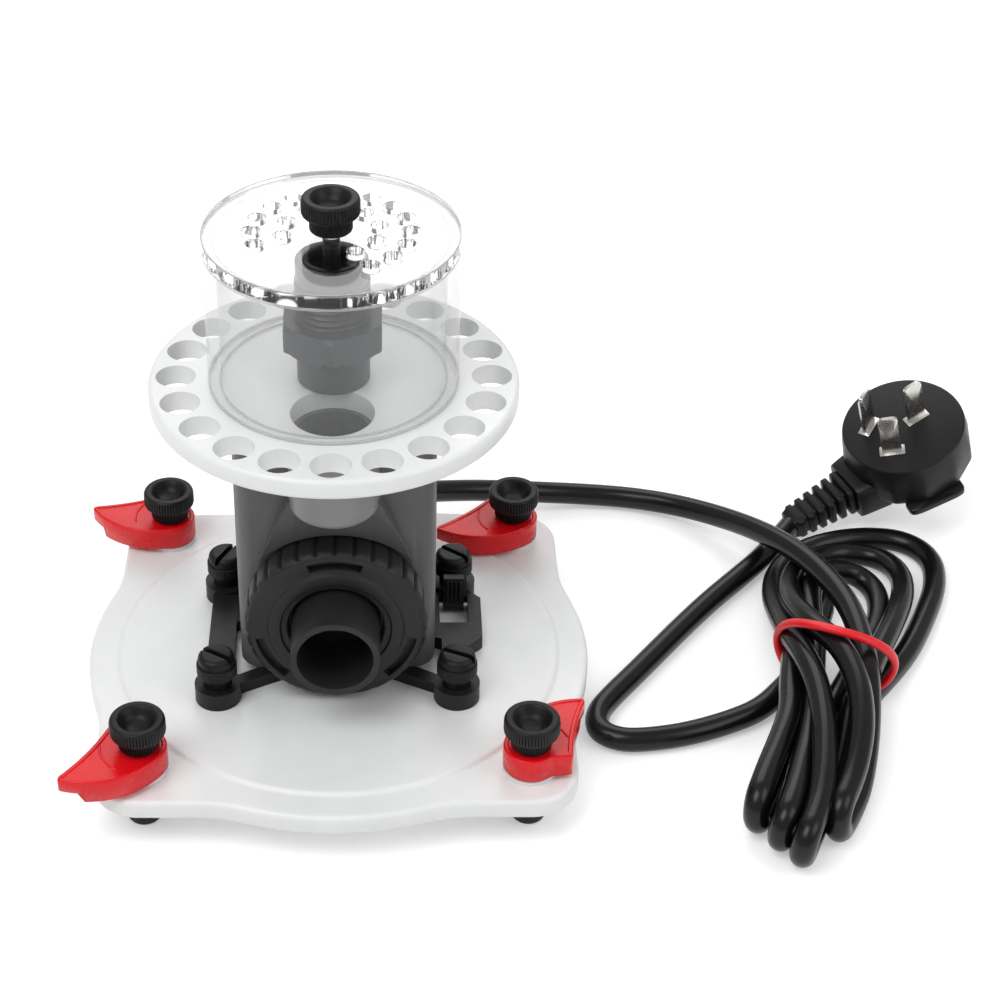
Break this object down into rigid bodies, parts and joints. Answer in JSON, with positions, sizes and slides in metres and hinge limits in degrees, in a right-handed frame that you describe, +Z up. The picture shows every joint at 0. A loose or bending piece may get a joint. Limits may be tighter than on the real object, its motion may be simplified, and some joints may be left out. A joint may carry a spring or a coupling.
{
  "type": "protein skimmer",
  "caption": "Aquarium protein skimmer base: needle-wheel pump on a footed round plate with cam latches, bubble plate, clear cup and coiled mains lead with plug.",
  "frame": {"origin": "on the floor under the middle of the round base plate, level with the bottoms of the feet", "axes": "+Z up, -Y out of the pump's intake pipe, +X towards the coiled lead"},
  "size_m": [0.2945, 0.1982, 0.1712],
  "materials": {
    "base_white": "milky white injection moulding",
    "foot_rubber": "matt black rubber",
    "brass": "plain turned brass",
    "knob_black": "satin black, finely ribbed",
    "cam_red": "glossy red moulding",
    "bracket_black": "satin black moulding",
    "housing_grey": "satin mid grey moulding",
    "nut_black": "matt black moulding",
    "pipe_black": "satin black moulding",
    "seal_rubber": "matt black rubber",
    "motor_black": "satin black moulding",
    "steel": "plain steel",
    "ferrite": "dark sintered magnet",
    "potting": "black potted windings",
    "wheel_grey": "light grey moulding",
    "plate_white": "satin white moulding",
    "cup_clear": "clear acrylic",
    "post_grey": "satin grey moulding",
    "insert_black": "satin black moulding",
    "cord_black": "glossy black sheath",
    "plug_black": "satin black moulding",
    "pin_plated": "bright nickel plate",
    "tie_red": "red coated tie"
  },
  "bodies": {
    "base": {"base_plate": "base_white", "rubber_feet": "foot_rubber", "foot_nuts": "brass", "bracket_inserts": "brass", "pump_bracket": "bracket_black", "bracket_screws": "knob_black", "release_tab_pin": "steel", "pump_housing": "housing_grey", "intake_pipe": "pipe_black", "intake_seal": "seal_rubber", "motor_housing": "motor_black", "motor_end_cap": "motor_black", "motor_screws": "steel", "rotor_well": "wheel_grey", "stator": "potting", "rotor_shaft": "steel", "shaft_bushes": "seal_rubber", "bearing_spider": "wheel_grey", "bubble_plate": "plate_white", "post": "post_grey", "post_insert": "insert_black", "strain_relief": "cord_black", "cord_lead": "cord_black", "cord_hank": "cord_black", "cord_tail": "cord_black", "cord_tie": "tie_red", "plug_body": "plug_black", "plug_pins": "pin_plated"},
    "union_nut": {"union_nut": "nut_black"},
    "rotor": {"needle_wheel": "wheel_grey", "rotor_magnet": "ferrite"},
    "release_tab": {"release_tab": "bracket_black"},
    "cup": {"cup_tube": "cup_clear", "cup_lid": "cup_clear"},
    "cup_knob": {"cup_thumbscrew": "knob_black"},
    "cam_front_left": {"cam_front_left": "cam_red"},
    "knob_front_left": {"thumbscrew_front_left": "knob_black"},
    "cam_front_right": {"cam_front_right": "cam_red"},
    "knob_front_right": {"thumbscrew_front_right": "knob_black"},
    "cam_rear_left": {"cam_rear_left": "cam_red"},
    "knob_rear_left": {"thumbscrew_rear_left": "knob_black"},
    "cam_rear_right": {"cam_rear_right": "cam_red"},
    "knob_rear_right": {"thumbscrew_rear_right": "knob_black"}
  },
  "joints": [
    {"name": "cam_front_left_turn", "type": "hinge", "parent": "base", "child": "cam_front_left", "pos_m": [-0.0555, -0.0555, 0.0195], "axis": [0, 0, 1], "continuous": true},
    {"name": "knob_front_left_turn", "type": "hinge", "parent": "base", "child": "knob_front_left", "pos_m": [-0.0555, -0.0555, 0.0274], "axis": [0, 0, 1], "continuous": true},
    {"name": "cam_front_right_turn", "type": "hinge", "parent": "base", "child": "cam_front_right", "pos_m": [0.0555, -0.0555, 0.0195], "axis": [0, 0, 1], "continuous": true},
    {"name": "knob_front_right_turn", "type": "hinge", "parent": "base", "child": "knob_front_right", "pos_m": [0.0555, -0.0555, 0.0274], "axis": [0, 0, 1], "continuous": true},
    {"name": "cam_rear_left_turn", "type": "hinge", "parent": "base", "child": "cam_rear_left", "pos_m": [-0.0555, 0.0555, 0.0195], "axis": [0, 0, 1], "continuous": true},
    {"name": "knob_rear_left_turn", "type": "hinge", "parent": "base", "child": "knob_rear_left", "pos_m": [-0.0555, 0.0555, 0.0274], "axis": [0, 0, 1], "continuous": true},
    {"name": "cam_rear_right_turn", "type": "hinge", "parent": "base", "child": "cam_rear_right", "pos_m": [0.0555, 0.0555, 0.0195], "axis": [0, 0, 1], "continuous": true},
    {"name": "knob_rear_right_turn", "type": "hinge", "parent": "base", "child": "knob_rear_right", "pos_m": [0.0555, 0.0555, 0.0274], "axis": [0, 0, 1], "continuous": true},
    {"name": "union_nut_turn", "type": "hinge", "parent": "base", "child": "union_nut", "pos_m": [0, -0.022, 0.0468], "axis": [0, 1, 0], "continuous": true},
    {"name": "rotor_spin", "type": "hinge", "parent": "base", "child": "rotor", "pos_m": [0, 0, 0.0468], "axis": [0, 1, 0], "continuous": true},
    {"name": "release_tab_tilt", "type": "hinge", "parent": "base", "child": "release_tab", "pos_m": [0.0353, 0.01575, 0.0213], "axis": [1, 0, 0], "range_deg": [0, 12], "stiffness_Nm_per_rad": 0.05},
    {"name": "cup_lift", "type": "slide", "parent": "base", "child": "cup", "axis": [0, 0, 1], "range_m": [0, 0.06]},
    {"name": "cup_knob_turn", "type": "hinge", "parent": "cup", "child": "cup_knob", "pos_m": [0, 0, 0.1614], "axis": [0, 0, 1], "continuous": true}
  ]
}
